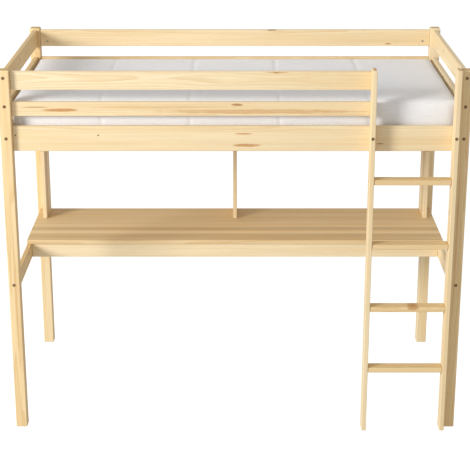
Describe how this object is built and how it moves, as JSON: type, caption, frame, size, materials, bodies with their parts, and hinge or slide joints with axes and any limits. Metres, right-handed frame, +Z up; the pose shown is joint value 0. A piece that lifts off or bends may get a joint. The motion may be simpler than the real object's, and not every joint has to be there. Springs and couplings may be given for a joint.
{
  "type": "loft bed with desk",
  "caption": "High-sleeper pine bed on square posts with guard boards, mattress on slats, fixed upright ladder, and a full-length desk with an open shelf underneath.",
  "frame": {"origin": "on the floor, under the middle of the whole object, ladder included", "axes": "+X along the bed towards the ladder end, +Y from the ladder side to the wall side, +Z up"},
  "size_m": [2.09, 1.062, 1.748],
  "materials": {
    "pine_post": "sanded, clear matt",
    "pine_board": "sanded, clear matt",
    "pine_panel": "sanded, clear matt",
    "pine_slat": "planed, bare",
    "bolt_steel": "dark bronze",
    "ticking": "woven, matt"
  },
  "bodies": {
    "bedstead": {"post_front_left": "pine_post", "post_front_right": "pine_post", "post_rear_left": "pine_post", "post_rear_right": "pine_post", "top_guard_front": "pine_board", "second_guard_front": "pine_board", "bed_rail_front": "pine_board", "top_guard_rear": "pine_board", "second_guard_rear": "pine_board", "bed_rail_rear": "pine_board", "top_guard_left": "pine_board", "second_guard_left": "pine_board", "bed_rail_left": "pine_board", "desk_rail_left": "pine_board", "top_guard_right": "pine_board", "second_guard_right": "pine_board", "bed_rail_right": "pine_board", "desk_rail_right": "pine_board", "desk_apron_front": "pine_board", "desk_apron_rear": "pine_board", "ladder_stringer_left": "pine_board", "ladder_stringer_right": "pine_board", "rung_1": "pine_board", "rung_2": "pine_board", "rung_3": "pine_board", "rung_4": "pine_board", "desk_top": "pine_panel", "shelf_upright_left": "pine_panel", "shelf_upright_middle": "pine_panel", "shelf_upright_right": "pine_panel", "shelf_board": "pine_panel", "slat_ledger_front": "pine_slat", "slat_ledger_rear": "pine_slat", "slat_01": "pine_slat", "slat_02": "pine_slat", "slat_03": "pine_slat", "slat_04": "pine_slat", "slat_05": "pine_slat", "slat_06": "pine_slat", "slat_07": "pine_slat", "slat_08": "pine_slat", "slat_09": "pine_slat", "slat_10": "pine_slat", "slat_11": "pine_slat", "slat_12": "pine_slat", "slat_13": "pine_slat", "bolt_top_guard_left": "bolt_steel", "bolt_second_guard_left": "bolt_steel", "bolt_bed_rail_left": "bolt_steel", "bolt_desk_rail_left": "bolt_steel", "bolt_top_guard_right": "bolt_steel", "bolt_second_guard_right": "bolt_steel", "bolt_bed_rail_right": "bolt_steel", "bolt_desk_rail_right": "bolt_steel", "ladder_bolt_left": "bolt_steel", "ladder_bolt_right": "bolt_steel"},
    "mattress": {"mattress": "ticking"}
  },
  "joints": [
    {"name": "mattress_lift", "type": "slide", "parent": "bedstead", "child": "mattress", "axis": [0, 0, 1], "range_m": [0, 0.35]}
  ]
}
